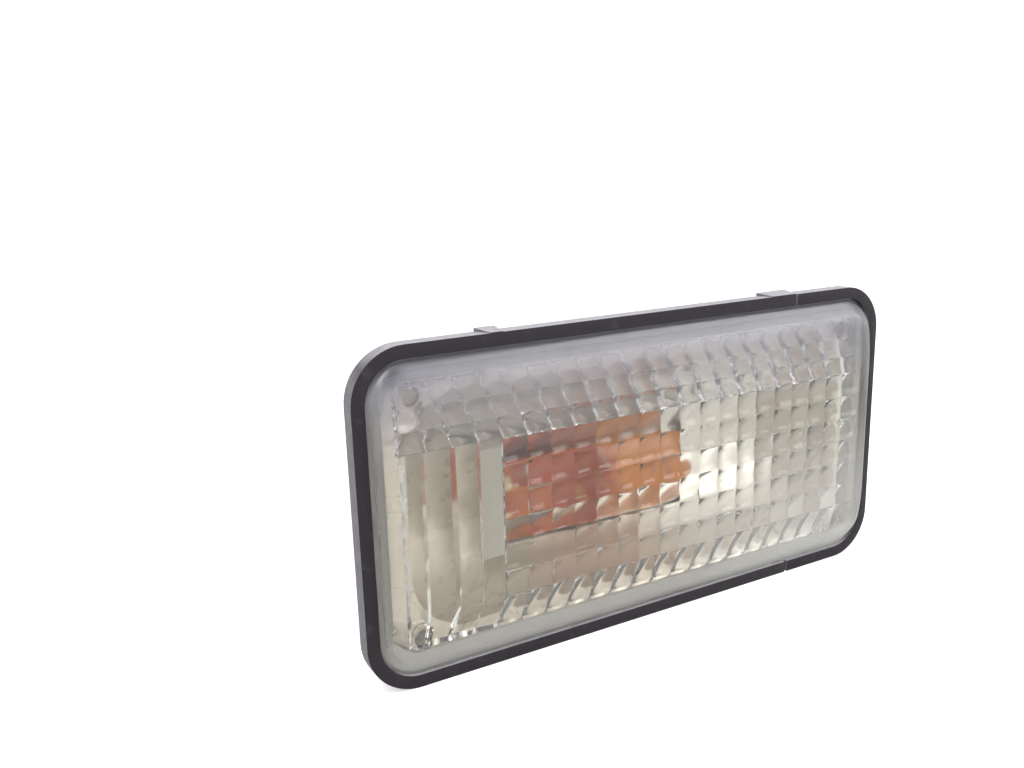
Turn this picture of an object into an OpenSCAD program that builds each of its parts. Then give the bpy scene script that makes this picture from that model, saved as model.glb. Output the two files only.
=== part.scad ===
// Side repeater lamp for a car wing: clear prismatic lens in a black rubber surround,
// pale trough reflector, amber wedge-base bulb lying along the lamp in a push-in holder.
// X runs along the lamp, +Y points back into the wing, +Z is up, in millimetres.
// The origin is the centre of the plane in which the surround seals on the wing.

/* [Overall] */
// Length of the lamp over its surround
body_w = 75.4; // [73:0.2:84]
// Height of the lamp over its surround
body_h = 38; // [37:0.2:42]
// Outer corner radius of the surround
corner_r = 6; // [5:0.25:8]

/* [Surround] */
// Width of the black face round the lens
face_w = 1.5; // [1.2:0.1:1.8]
// Thickness of the wall round the flanges
surround_wall = 0.7; // [0.5:0.05:0.9]
// Thickness of the front lip over the lens foot
lip_t = 0.5; // [0.4:0.05:0.8]
// Thickness of the lip that seals on the wing
seal_t = 1.2; // [0.9:0.05:1.5]
// Setback of the sealing lip from the outer edge
seal_inset = 0.8; // [0.5:0.05:1]
// Rise of the two ramped lugs on the top edge, at their back
lug_rise = 0.4; // [0.2:0.05:0.8]
// Outer end of the lug near the hook
short_lug_x = -22.8; // [-25:0.2:-20]
// Length of the lug near the hook
short_lug = 2.5; // [2:0.1:5]
// Length of the lug near the clip, which ends at the slit
long_lug = 4.8; // [4:0.1:9]
// Slant of the lugs' hook ends, seen from above
lug_slant = 0.9; // [0.3:0.1:1.5]
// Place of the slit across the face
slit_x = 22.4; // [18:0.1:26]
// Width of the slit across the face
slit_w = 0.4; // [0.2:0.05:0.6]

/* [Lens] */
// Height of the lens crest over the surround's face
lens_proud = 1.8; // [1:0.1:3]
// Wall of the lens at its face
lens_wall = 1.4; // [1.2:0.05:1.8]
// Wall of the lens round its side
skirt_t = 1.3; // [1:0.05:1.6]
// Gap between lens and surround
lens_gap = 0.25; // [0.1:0.05:0.35]
// Height of the flat band along the middle of the lens
flat_band = 16; // [10:0.5:20]
// Radius of the rounded rim
rim_r = 2.2; // [1:0.1:3]
// Share of the dome's rise that is lost at the long edges
crown_fall = 0.8; // [0.3:0.05:0.9]
// Thickness of the foot that is welded to the housing
foot_t = 0.5; // [0.4:0.05:0.8]
// Columns of prisms and pillows
prism_cols = 22; // [12:1:26]
// Columns at the hook end that are tall prism strips
strip_cols = 4; // [3:1:6]
// Rows of pillows
flat_rows = 7; // [4:1:9]
// Taller rows of round pillows along the top
rope_rows = 2; // [1:1:3]
// Rise of the prism strips
strip_rise = 2; // [1:0.1:2.1]
// Bulge of a row
row_bulge = 0.3; // [0.1:0.05:0.35]
// Bulge of a pillow in the flat rows
flat_pillow = 0.12; // [0:0.02:0.3]
// Bulge of a round pillow in the top rows and the bottom row
round_pillow = 0.42; // [0.2:0.02:0.5]
// Margin between the lens edge and the optics
optic_margin = 2.6; // [2.4:0.1:4]
// Diameter of the corner pegs
peg_d = 2.2; // [1.5:0.1:2.4]
// Distance of a peg's centre from the lens ends
peg_in_x = 4.9; // [4.7:0.1:5.5]
// Distance of a peg's centre from the lens' long edges
peg_in_z = 4.1; // [4:0.1:4.6]

/* [Housing] */
// Thickness of the housing's flange
flange_t = 0.8; // [0.7:0.05:1.2]
// Wall of the tray
tray_wall = 1.4; // [1:0.05:1.6]
// Depth of the tray behind the wing's face
tray_depth = 13.2; // [13:0.1:16]
// Depth at which the tray starts to taper
taper_y = 5; // [3:0.5:7]
// Slope of the tray's ends, in mm per mm of depth
end_taper = 0.65; // [0.3:0.05:0.8]
// Margin of the tray's tapered back above and below the latches
latch_margin = 0.6; // [0.4:0.1:0.8]
// Setback of the tray's collar from the surround's outer edge
collar_inset = 2.8; // [2.7:0.05:3.2]
// Length of the collar that centres the lamp in the cut-out
collar_len = 1.2; // [0.8:0.1:1.8]
// Thickness of the tray's back
back_t = 1.4; // [1:0.05:2]
// Thickness of the wing's sheet
wing_t = 1; // [0.7:0.05:1.2]
// Reach of the fixed hook beyond the tray's collar
hook_reach = 1.2; // [0.9:0.1:1.6]
// Width of the hook
hook_w = 14; // [8:0.5:20]
// Thickness of the hook
hook_t = 2.2; // [1.5:0.1:3]

/* [Reflector] */
// Wall of the reflector
reflector_wall = 0.8; // [0.6:0.05:1]
// Slope of the reflector's end walls, as setback from front to back
end_slope = 4.2; // [4:0.1:6]

/* [Bulb] */
// Diameter of the glass
bulb_d = 10.3; // [9.6:0.1:10.6]
// Length of the bulb from tip to base
bulb_len = 26.8; // [25:0.1:27]
// Place of the tip along the lamp
tip_x = 8.8; // [7:0.1:10]
// Height of the bulb's axis over the lamp's middle
bulb_z = -1.2; // [-1.5:0.1:0]
// Distance of the bulb's axis behind the wing's face
bulb_y = 3.8; // [3.7:0.1:4.2]
// Thickness of the glass
glass_t = 0.6; // [0.4:0.05:0.8]
// Width of the flat wedge
wedge_w = 9.8; // [8.5:0.1:9.9]
// Thickness of the flat wedge
wedge_t = 2.7; // [2.4:0.1:3]
// Length of the flat wedge
wedge_len = 9; // [8:0.1:10]
// Diameter of the lead wires
lead_d = 0.4; // [0.3:0.05:0.5]
// Distance of each lead from the bulb's axis
lead_z = 2.6; // [2.4:0.1:2.8]
// Diameter of the coiled filament
filament_d = 0.5; // [0.3:0.05:0.8]

/* [Holder] */
// Depth to which the wedge sits in the holder
wedge_seat = 6.8; // [6:0.1:7]
// Height of the holder's tower
tower_h = 13; // [12.8:0.1:13.4]
// Length of the holder's tower along the lamp
tower_len = 11.5; // [11:0.1:13]
// Thickness of the holder's plate
plate_t = 2; // [1.5:0.1:3]
// Overlap of the plate over the opening, all round
plate_lap = 2.5; // [2:0.1:3]
// Thickness of the holder's seal when pressed
holder_seal_t = 0.8; // [0.5:0.05:1.2]
// Room in the plug socket on each face of the tabs
plug_room = 4.4; // [4.3:0.05:4.8]
// Depth of the plug socket
plug_depth = 9.5; // [9:0.5:14]
// Wall of the plug socket
plug_wall = 1.2; // [1:0.1:1.6]

/* [Contacts] */
// Thickness of the contact strip
strip_t = 0.5; // [0.4:0.05:0.6]
// Width of the contact strip and its tab
strip_w = 2.8; // [2:0.1:3]
// Length of the tab in the plug socket
tab_len = 7.5; // [5:0.5:9]
// Length of the short leaf on the front of the wedge
front_leaf = 1.6; // [1.4:0.1:4]

/* [Clip] */
// Thickness of the clip's steel
clip_t = 0.5; // [0.4:0.05:0.6]
// Width of the clip
clip_w = 10; // [6:0.5:12]
// Reach of the clip's spring beyond the collar
clip_reach = 1.8; // [1.2:0.1:2.2]

/* [Hidden] */
$fn = 48;
// General clearances: between moulded parts, and past a cut surface
fit = 0.15;
slip = 0.05;
over = 1;

// Planes along Y, from the wing's face forward
flange_back = -seal_t;
flange_front = flange_back - flange_t;
foot_front = flange_front - foot_t;
front_y = foot_front - lip_t;
crest_y = front_y - lens_proud;
// The black edge seen from the side ends where the sealing lip steps in
edge_back = flange_back + 0.25;

// Outlines, each as [width, height, corner radius]
function inset(o, d) = [o[0] - 2 * d, o[1] - 2 * d, max(o[2] - d, 0.6)];
body_o = [body_w, body_h, corner_r];
cavity_o = inset(body_o, surround_wall);
flange_o = inset(cavity_o, fit / 2);
lens_o = inset(body_o, face_w + lens_gap);
skirt_o = inset(lens_o, skirt_t);
collar_o = inset(body_o, collar_inset);
mouth_o = inset(collar_o, 1.3);
ledge_w = 0.7;
tray_o = inset(collar_o, ledge_w);
well_o = inset(tray_o, tray_wall);
ring_o = inset(mouth_o, fit);

// Optics of the lens
optic_w = lens_o[0] - 2 * optic_margin;
optic_h = lens_o[1] - 2 * optic_margin;
col_p = optic_w / prism_cols;
optic_foot = 0.85;
rope_share = 1.13;
row_p = (optic_h - optic_foot) / (flat_rows + rope_rows * rope_share);
rope_p = row_p * rope_share;
rope_top = optic_h / 2 - rope_rows * rope_p;
riser_w = 0.12;
cell_parts = 3;
skirt_top = foot_front - 0.05;
dome_rise = skirt_top - crest_y;

// Reflector and tray depths
ring_front = flange_front + 1.1;
ring_t = 0.8;
ring_back = ring_front + ring_t;
well_back = tray_depth - back_t;
trough_back = well_back - fit - reflector_wall - 0.6;
gusset_r = 6.5;
trough_corner = 1;
trough_half = well_o[0] / 2 - fit - reflector_wall;
trough_o = [2 * trough_half, well_o[1] - 2 * fit - 2 * reflector_wall, gusset_r];
trough_r = trough_o[1] / 2 + 1.05;
strip_back = ring_front - fit;
peg_back = ring_back - 0.1;

// Bulb stations along X
bulb_r = bulb_d / 2;
base_x = tip_x - bulb_len;
wedge_end = base_x + wedge_len;
round_start = wedge_end + 3.8;
tip_centre = tip_x - bulb_r;
filament_x = tip_centre - 3.4;
pinch_front = wedge_end + 1;

// Holder stations
mouth_x = base_x + wedge_seat;
tower_back_x = mouth_x - tower_len;
opening_right = tip_x + 3;
opening_mid = (tower_back_x + opening_right) / 2;
opening_w = opening_right - tower_back_x + 1;
opening_h = tower_h + 1;
opening_r = 2;
plug_front = tray_depth - back_t - 0.8;
plate_front = tray_depth + holder_seal_t;
plate_back = plate_front + plate_t;
latch_w = 8;
latch_t = 1.3;
latch_z = opening_h / 2 + plate_lap + 0.2;
tray_back_half = latch_z + latch_t + abs(bulb_z) + latch_margin;
side_taper = (tray_o[1] / 2 - tray_back_half) / (tray_depth - taper_y);
nub_y = 3.6;
nub_half = 0.5;

// Contacts
leaf_gap = wedge_t / 2 + lead_d + slip;
web_x = base_x - 1;
slot_y = leaf_gap + strip_t + slip;
tower_y = bulb_y - slot_y - 0.1;
tab_back = plate_back + tab_len;

// A closed slab of a rounded outline between two planes along Y
module plate2d(o) {
    square([o[0] - 2 * o[2], o[1]], center = true);
    square([o[0], o[1] - 2 * o[2]], center = true);
    for (sx = [-1, 1], sz = [-1, 1])
        translate([sx * (o[0] / 2 - o[2]), sz * (o[1] / 2 - o[2])]) circle(o[2]);
}
module slab(o, y0, y1) {
    translate([0, y1, 0]) rotate([90, 0, 0]) linear_extrude(y1 - y0) plate2d(o);
}
module block(x, y, z) {
    translate([x[0], y[0], z[0]]) cube([x[1] - x[0], y[1] - y[0], z[1] - z[0]]);
}
function about(mid, half) = [mid - half, mid + half];
// A profile drawn in X and Y, carried along Z
module along_z(h) {
    translate([0, 0, -h / 2]) linear_extrude(h) children();
}
// A strip of even thickness that follows points in X and Y, with mitred bends
function strip_side(pts, h) = [for (i = [0 : len(pts) - 1])
    let (
        a = pts[max(i, 1)] - pts[max(i, 1) - 1],
        b = pts[min(i, len(pts) - 2) + 1] - pts[min(i, len(pts) - 2)],
        m = [-a[1], a[0]] / norm(a) + [-b[1], b[0]] / norm(b)
    )
    pts[i] + m * 2 * h / (m * m)];
module strip2d(pts, t) {
    back = strip_side(pts, -t / 2);
    polygon(concat(strip_side(pts, t / 2), [for (i = [len(back) - 1 : -1 : 0]) back[i]]));
}

// Height field on a rounded outline, closed by a flat back
function lines(half, edge, n, inner) = concat(
    [for (i = [0 : n - 1]) -half + (half - edge) * i / n],
    inner,
    [for (i = [1 : n]) edge + (half - edge) * i / n]
);
// Moves a grid point in a corner square onto the rounded corner
function rounded_point(x, z, o) =
    let (cx = o[0] / 2 - o[2], cz = o[1] / 2 - o[2], qx = abs(x) - cx, qz = abs(z) - cz)
    (qx > 0 && qz > 0)
        ? let (s = max(qx, qz) / norm([qx, qz])) [sign(x) * (cx + qx * s), sign(z) * (cz + qz * s)]
        : [x, z];
module height_field(xs, zs, o, y_at, back_y) {
    nx = len(xs);
    nz = len(zs);
    flat = [for (z = zs, x = xs) rounded_point(x, z, o)];
    top = [for (j = [0 : nz - 1], i = [0 : nx - 1])
        let (p = flat[j * nx + i]) [p[0], y_at(i, j, p[0], p[1]), p[1]]];
    loop = concat(
        [for (i = [0 : nx - 1]) i],
        [for (j = [1 : nz - 1]) j * nx + nx - 1],
        [for (i = [nx - 2 : -1 : 0]) (nz - 1) * nx + i],
        [for (j = [nz - 2 : -1 : 1]) j * nx]
    );
    n = len(loop);
    base = nx * nz;
    skirt = [for (k = loop) [flat[k][0], back_y, flat[k][1]]];
    quads = [for (j = [0 : nz - 2], i = [0 : nx - 2]) let (a = j * nx + i)
        each [[a, a + nx, a + 1], [a + 1, a + nx, a + nx + 1]]];
    sides = [for (k = [0 : n - 1]) let (l = (k + 1) % n)
        each [[loop[k], loop[l], base + l], [loop[k], base + l, base + k]]];
    polyhedron(concat(top, skirt), concat(quads, sides, [[for (k = [0 : n - 1]) base + k]]));
}

// Distance of a point inside a rounded outline
function depth_in(x, z, o) =
    let (qx = abs(x) - o[0] / 2 + o[2], qz = abs(z) - o[1] / 2 + o[2])
    o[2] - norm([max(qx, 0), max(qz, 0)]) - min(max(qx, qz), 0);
// Share of the dome's rise across its height: flat in the middle, falling in an arc
function crown(z) =
    let (a = max(0, abs(z) - flat_band / 2), b = lens_o[1] / 2 - flat_band / 2)
    1 - crown_fall * (1 - sqrt(1 - pow(a / (b * 1.25), 2))) / (1 - sqrt(1 - pow(1 / 1.25, 2)));
function rim(x, z) = let (d = min(depth_in(x, z, lens_o) / rim_r, 1)) sqrt(max(0, 1 - pow(1 - d, 2)));
function lens_top(x, z) = skirt_top - dome_rise * crown(z) * rim(x, z);

// Lines across the optics; each strip also gets a line at the top of its riser
function cell_lines(start, pitch, cells) = [for (k = [0 : cells - 1], i = [0 : cell_parts - 1])
    start + (k + i / cell_parts) * pitch];
strip_lines = [for (k = [0 : strip_cols - 1]) let (x0 = -optic_w / 2 + k * col_p)
    each [x0, x0 + riser_w, x0 + col_p / 3, x0 + col_p * 2 / 3]];
pillow_lines = cell_lines(-optic_w / 2 + strip_cols * col_p, col_p, prism_cols - strip_cols);
row_lines = cell_lines(-optic_h / 2 + optic_foot, row_p, flat_rows);
rope_lines = cell_lines(rope_top, rope_p, rope_rows);
margin_lines = 2;
cavity_xs = lines(skirt_o[0] / 2, optic_w / 2, margin_lines,
    concat(strip_lines, pillow_lines, [optic_w / 2]));
cavity_zs = lines(skirt_o[1] / 2, optic_h / 2, margin_lines,
    concat(row_lines, rope_lines, [optic_h / 2]));

function arch(t) = 1 - pow(2 * t - 1, 2);
// A strip is thick at its hook side, and the middle strips are the strongest
function strip_thick(k) = strip_rise * (k == 0 || k == strip_cols - 1 ? 0.6 : 1);
function strip_thin(k) = strip_rise * (k == 0 ? 0.35 : k == strip_cols - 2 ? 0.17 : 0);
function strip_at(k, t) =
    let (before = k > 0 ? strip_thin(k - 1) : 0, thick = strip_thick(k), u = t * col_p / riser_w)
    u < 1
        ? before + (thick - before) * u
        : strip_thin(k) + (thick - strip_thin(k)) * (1 - t) / (1 - riser_w / col_p);
// Extra thickness at a place in the optics: a barrel in each row, with strips or pillows on it
function cell_rise(x, z) =
    let (
        u = (x + optic_w / 2) / col_p + 0.0001,
        w = z >= rope_top ? (z - rope_top) / rope_p : (z + optic_h / 2 - optic_foot) / row_p,
        k = floor(u),
        row = floor(w + 0.0001),
        rope = z >= rope_top || (row == 0 && k >= strip_cols)
    )
    row_bulge * arch(w - row)
        + (k < strip_cols && !rope ? strip_at(k, u - k) : (rope ? round_pillow : flat_pillow) * arch(u - k));
function optic_rise(i, j, x, z) =
    (i < margin_lines || i >= len(cavity_xs) - margin_lines - 1
        || j < margin_lines || j >= len(cavity_zs) - margin_lines - 1) ? 0 : cell_rise(x, z);
function cavity_top(i, j, x, z) =
    skirt_top - dome_rise * crown(z) + lens_wall + optic_rise(i, j, x, z);

module lens_dome() {
    dome_cols = 18;
    dome_rows = 14;
    in_x = lens_o[0] / 2 - rim_r;
    in_z = lens_o[1] / 2 - rim_r;
    xs = lines(lens_o[0] / 2, in_x, 4, [for (i = [0 : dome_cols]) in_x * (2 * i / dome_cols - 1)]);
    zs = lines(lens_o[1] / 2, in_z, 4, [for (i = [0 : dome_rows]) in_z * (2 * i / dome_rows - 1)]);
    height_field(xs, zs, lens_o, function (i, j, x, z) lens_top(x, z), flange_front);
}
module lens_pegs() {
    px = lens_o[0] / 2 - peg_in_x;
    pz = lens_o[1] / 2 - peg_in_z;
    start = skirt_top - dome_rise * crown(pz) + lens_wall / 2;
    for (sx = [-1, 1], sz = [-1, 1])
        translate([sx * px, peg_back, sz * pz]) rotate([90, 0, 0])
            cylinder(h = peg_back - start, d = peg_d);
}
module lens() {
    color([0.86, 0.88, 0.88, 0.55]) {
        difference() {
            union() {
                lens_dome();
                slab(flange_o, foot_front, flange_front);
                slab(inset(mouth_o, fit), flange_front - 0.01, strip_back);
            }
            height_field(cavity_xs, cavity_zs, skirt_o,
                function (i, j, x, z) cavity_top(i, j, x, z), strip_back + over);
        }
        lens_pegs();
    }
}

// Rubber ring with a groove for the welded foot and flange, and a lip behind
module lug(x, len) {
    ramp = [[front_y, -0.5], [edge_back, -0.5], [edge_back, lug_rise], [front_y, lug_rise / 6]];
    intersection() {
        translate([x, 0, body_h / 2]) rotate([90, 0, 90]) linear_extrude(len) polygon(ramp);
        along_z(2 * body_h) polygon([
            [x, edge_back], [x + len, edge_back], [x + len, front_y], [x + lug_slant, front_y]
        ]);
    }
}
module surround() {
    hole_o = inset(body_o, face_w);
    color([0.1, 0.09, 0.11]) {
        difference() {
            union() {
                slab(body_o, front_y, edge_back);
                slab(inset(body_o, seal_inset), edge_back - 0.01, 0);
                lug(short_lug_x, short_lug);
                lug(slit_x - slit_w / 2 - long_lug, long_lug);
            }
            slab(hole_o, front_y - over, foot_front);
            slab(cavity_o, foot_front, flange_back);
            slab(inset(collar_o, -fit), flange_back - 0.01, over);
            for (s = [-1, 1])
                block(about(slit_x, slit_w / 2), [front_y - over, front_y + 0.35],
                    s > 0 ? [body_h / 2 - face_w - over, body_h / 2 + over]
                        : [-body_h / 2 - over, -body_h / 2 + face_w + over]);
        }
    }
}

// Tray that tapers towards its back, on its ends and on its long sides
module taper2d(half, rate, y0, deep) {
    back = half - rate * (deep - taper_y);
    polygon([[-half, y0], [half, y0], [half, taper_y], [back, deep], [-back, deep], [-half, taper_y]]);
}
module tray_solid(o, y0, deep) {
    intersection() {
        slab(o, y0, deep);
        along_z(body_h) taper2d(o[0] / 2, end_taper, y0, deep);
        rotate([0, 90, 0]) along_z(body_w) taper2d(o[1] / 2, side_taper, y0, deep);
    }
}
module opening_slab(grow, y0, y1) {
    translate([opening_mid, 0, bulb_z])
        slab([opening_w + 2 * grow, opening_h + 2 * grow, opening_r + grow], y0, y1);
}
// Hook that goes behind the wing's sheet first
module hook() {
    x1 = -collar_o[0] / 2 + 0.5;
    difference() {
        block([-collar_o[0] / 2 - hook_reach, x1], [wing_t + 0.2, wing_t + 0.2 + hook_t],
            [-hook_w / 2, hook_w / 2]);
        translate([-collar_o[0] / 2 - hook_reach, wing_t + 0.2 + hook_t, 0]) rotate([0, 0, 45])
            cube([1.2, 1.2, hook_w + 2 * over], center = true);
    }
}
// Two guides with lips that hold the clip's inner leg
module clip_guides() {
    x0 = tray_o[0] / 2;
    guide_t = 1.2;
    guide_y = [wing_t + 0.6, taper_y + 0.6];
    for (s = [-1, 1]) {
        z0 = s * (clip_w / 2 + slip + guide_t / 2);
        block([x0 - 1.5, x0 + clip_t + 2 * slip + 0.8], guide_y, about(z0, guide_t / 2));
        zl = s * (clip_w / 2 + slip - 0.4);
        block([x0 + clip_t + 2 * slip, x0 + clip_t + 2 * slip + 0.8], guide_y,
            [min(zl, z0), max(zl, z0)]);
    }
    block([x0 - 0.5, x0 + clip_t * 0.8], about(nub_y, nub_half), [-1, 1]);
}
// Spring latches over the holder's plate, above and below
module latches() {
    for (s = [-1, 1]) translate([opening_mid, 0, bulb_z]) {
        z = [latch_z, latch_z + latch_t];
        block([-latch_w / 2, latch_w / 2], [tray_depth - 0.5, plate_back + 1.4],
            s > 0 ? z : [-z[1], -z[0]]);
        block([-latch_w / 2, latch_w / 2], [plate_back + slip, plate_back + 1.4],
            s > 0 ? [latch_z - 1, latch_z + 0.1] : [-latch_z - 0.1, -latch_z + 1]);
    }
}
module housing() {
    color([0.74, 0.73, 0.7]) {
        difference() {
            union() {
                slab(flange_o, flange_front, flange_back);
                slab(collar_o, flange_front, collar_len);
                tray_solid(tray_o, flange_front, tray_depth);
                hook();
                clip_guides();
                latches();
            }
            slab(mouth_o, flange_front - over, ring_back);
            tray_solid(well_o, ring_back - over, well_back);
            opening_slab(0, well_back - over, tray_depth + over / 2);
        }
    }
}

// Trough behind the bulb with sloped ends and a ring that sits in the tray's mouth
module trough(grow, y0) {
    r = trough_r + grow;
    half = trough_half + grow;
    high = trough_o[1] + 2 * grow;
    deep = trough_back + grow;
    intersection() {
        slab([2 * half, high, trough_corner + grow], y0, deep + over);
        translate([-body_w / 2, trough_back - trough_r, 0]) rotate([0, 90, 0])
            cylinder(h = body_w, r = r, $fn = 96);
        along_z(high) polygon([
            [-half, y0], [half, y0], [half, ring_back],
            [half - end_slope, deep], [-half + end_slope, deep], [-half, ring_back]
        ]);
    }
}
module reflector() {
    px = lens_o[0] / 2 - peg_in_x;
    pz = lens_o[1] / 2 - peg_in_z;
    color([0.8, 0.79, 0.74]) {
        difference() {
            union() {
                slab(ring_o, ring_front, ring_back);
                trough(reflector_wall, ring_back - 0.3);
            }
            slab(trough_o, ring_front - over, ring_back + 0.01);
            trough(0, ring_back);
            opening_slab(0.3, trough_back - 4, well_back + over);
            for (sx = [-1, 1], sz = [-1, 1])
                translate([sx * px, ring_back + over, sz * pz]) rotate([90, 0, 0])
                    cylinder(h = ring_t + 2 * over, d = peg_d + 2 * slip);
        }
    }
}

// Push-in holder: plate, tower with the wedge slot, and plug socket behind
module holder_socket(grow, y0, y1) {
    half_x = strip_t / 2 + plug_room + grow;
    half_z = lead_z + strip_w / 2 + 1.5 + grow;
    translate([web_x, 0, bulb_z]) slab([2 * half_x, 2 * half_z, 1 + grow], y0, y1);
}
module contact_slots() {
    web = about(web_x, strip_t / 2 + slip);
    for (s = [-1, 1]) {
        z = about(bulb_z + s * lead_z, strip_w / 2 + slip);
        block(web, [bulb_y, plate_back + over], z);
        block([web[0], mouth_x + over], [tower_y - over, bulb_y + slot_y], z);
    }
}
module bulb_holder() {
    color([0.82, 0.81, 0.77]) {
        difference() {
            union() {
                opening_slab(plate_lap, plate_front, plate_back);
                opening_slab(-fit, plug_front, plate_front + 0.01);
                block([tower_back_x, mouth_x], [tower_y, plug_front + 0.01],
                    about(bulb_z, tower_h / 2));
                holder_socket(plug_wall, plate_back - 0.01, plate_back + plug_depth);
            }
            block([base_x - fit, mouth_x + over], [tower_y - over, bulb_y + wedge_t / 2 + fit],
                about(bulb_z, wedge_w / 2 + fit));
            contact_slots();
            holder_socket(0, plate_back, plate_back + plug_depth + over);
        }
    }
}
module holder_seal() {
    color([0.13, 0.13, 0.13])
        difference() {
            opening_slab(plate_lap - 0.6, tray_depth, plate_front);
            opening_slab(0.2, tray_depth - over, plate_front + over);
        }
}

// One stamped strip: a short and a long leaf on the wedge, a web behind it, and the tab
module contact(s) {
    leaf = leaf_gap + strip_t / 2;
    leaf_end = mouth_x - 0.8;
    color([0.78, 0.66, 0.36])
        translate([0, 0, bulb_z + s * lead_z]) along_z(strip_w) {
            strip2d([
                [web_x + front_leaf, bulb_y - leaf], [web_x, bulb_y - leaf],
                [web_x, bulb_y + leaf], [leaf_end, bulb_y + leaf]
            ], strip_t);
            strip2d([[web_x, bulb_y], [web_x, tab_back]], strip_t);
        }
}
module contact_feed() contact(1);
module contact_ground() contact(-1);

// Everything of the bulb is drawn along X, from its base to its tip
module on_axis() {
    translate([0, bulb_y, bulb_z]) rotate([0, 90, 0]) children();
}
// Outer or inner outline of the round glass, as radius and station
function glass_outline(g) =
    let (r = bulb_r - g, neck = wedge_t / 2 - g / 2)
    concat(
        [[0, wedge_end + g]],
        [for (i = [0 : 8]) let (a = i * 90 / 8)
            [neck + (r - neck) * sin(a), round_start - (round_start - wedge_end - g) * cos(a)]],
        [for (i = [0 : 9]) let (a = i * 90 / 9) [r * cos(a), tip_centre + r * sin(a)]]
    );
module bulb_glass() {
    color([0.93, 0.45, 0.1, 0.8])
        difference() {
            union() {
                on_axis() rotate_extrude() polygon(glass_outline(0));
                block([base_x, wedge_end + 2.5], about(bulb_y, wedge_t / 2),
                    about(bulb_z, wedge_w / 2));
            }
            on_axis() rotate_extrude() polygon([
                for (p = glass_outline(glass_t)) [p[0], max(p[1], pinch_front + 2)]
            ]);
            for (s = [-1, 1])
                translate([base_x - over, bulb_y, bulb_z + s * lead_z]) rotate([0, 90, 0])
                    cylinder(h = wedge_len + 6, d = lead_d + 0.02, $fn = 24);
        }
}
// Post in the glass, wire through the pinch, and its end folded on one face of the wedge
module bulb_lead(s) {
    face = wedge_t / 2 + lead_d / 2 + 0.01;
    bend_x = base_x - lead_d / 2 - 0.02;
    z = bulb_z + s * lead_z;
    color([0.72, 0.72, 0.74]) {
        translate([bend_x, bulb_y, z]) rotate([0, 90, 0])
            cylinder(h = filament_x - bend_x, d = lead_d, $fn = 24);
        translate([bend_x, bulb_y, z]) rotate([s * 90, 0, 0]) cylinder(h = face, d = lead_d, $fn = 24);
        translate([bend_x, bulb_y - s * face, z]) rotate([0, 90, 0])
            cylinder(h = 4.6, d = lead_d, $fn = 24);
        for (y = [bulb_y, bulb_y - s * face]) translate([bend_x, y, z]) sphere(d = lead_d, $fn = 24);
    }
}
module bulb_lead_feed() bulb_lead(1);
module bulb_lead_ground() bulb_lead(-1);
// The coil hangs between the posts in a shallow arc
module filament() {
    half_angle = 40;
    span = lead_z - lead_d / 2 - filament_d / 2 * sin(half_angle);
    arc_r = span / sin(half_angle);
    color([0.45, 0.45, 0.47])
        translate([filament_x - filament_d / 2 - arc_r * cos(half_angle), bulb_y, bulb_z])
            rotate([90, 0, 0]) rotate([0, 0, -half_angle])
                rotate_extrude(angle = 2 * half_angle, $fn = 96)
                    translate([arc_r, 0]) circle(d = filament_d, $fn = 24);
}

// Leg in the guides, bend behind, and a springing leg that snaps behind the sheet
module spring_clip() {
    x0 = tray_o[0] / 2 + slip + clip_t / 2;
    far = collar_o[0] / 2 + clip_reach;
    bend_y = taper_y + 1.6;
    bend_r = 0.9;
    color([0.62, 0.63, 0.65])
        difference() {
            along_z(clip_w) strip2d(concat(
                [[x0, nub_y - 1.4]],
                [for (a = [180 : -30 : 0]) [x0 + bend_r + bend_r * cos(a), bend_y + bend_r * sin(a)]],
                [[far, wing_t + 2.2], [collar_o[0] / 2 + 1.1, wing_t + 0.6]]
            ), clip_t);
            block(about(x0, clip_t), about(nub_y, nub_half + slip), about(0, 1 + slip));
        }
}

lens();
surround();
housing();
reflector();
bulb_holder();
holder_seal();
contact_feed();
contact_ground();
bulb_glass();
filament();
bulb_lead_feed();
bulb_lead_ground();
spring_clip();
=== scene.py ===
# %% [markdown]
# # Side repeater lamp
# A small lamp from a car's front wing: a clear lens with prisms on its inner face, a black
# surround, and an amber bulb that lies behind the lens in a pale tray.
# It could be modelled by eye, but then the looks and the measured part would drift apart. So the
# lesson starts by loading the CAD model as a fixed frame, and every piece is fitted to it.
# Blender's lengths are metres; the values below are written in millimetres and scaled by MM.

# %% Load the frame
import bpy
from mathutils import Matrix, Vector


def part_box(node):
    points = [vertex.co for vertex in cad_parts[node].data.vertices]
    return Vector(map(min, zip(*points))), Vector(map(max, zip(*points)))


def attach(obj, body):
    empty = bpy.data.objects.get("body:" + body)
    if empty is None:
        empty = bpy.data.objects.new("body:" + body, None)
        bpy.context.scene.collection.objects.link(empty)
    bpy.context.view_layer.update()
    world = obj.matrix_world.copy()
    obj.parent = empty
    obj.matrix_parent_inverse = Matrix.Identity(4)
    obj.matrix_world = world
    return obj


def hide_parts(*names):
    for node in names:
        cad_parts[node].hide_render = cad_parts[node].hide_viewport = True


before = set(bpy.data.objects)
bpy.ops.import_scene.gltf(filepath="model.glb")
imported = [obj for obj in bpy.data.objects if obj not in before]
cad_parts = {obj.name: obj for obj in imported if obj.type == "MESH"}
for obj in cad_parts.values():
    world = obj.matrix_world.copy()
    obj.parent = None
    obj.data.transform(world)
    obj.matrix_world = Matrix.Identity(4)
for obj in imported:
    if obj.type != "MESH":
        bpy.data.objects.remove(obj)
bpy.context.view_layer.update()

import math
import random
import bmesh
import bpy
from mathutils import Matrix, Vector

MM = 0.001
print("nodes:", ", ".join(sorted(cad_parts)))

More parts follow.
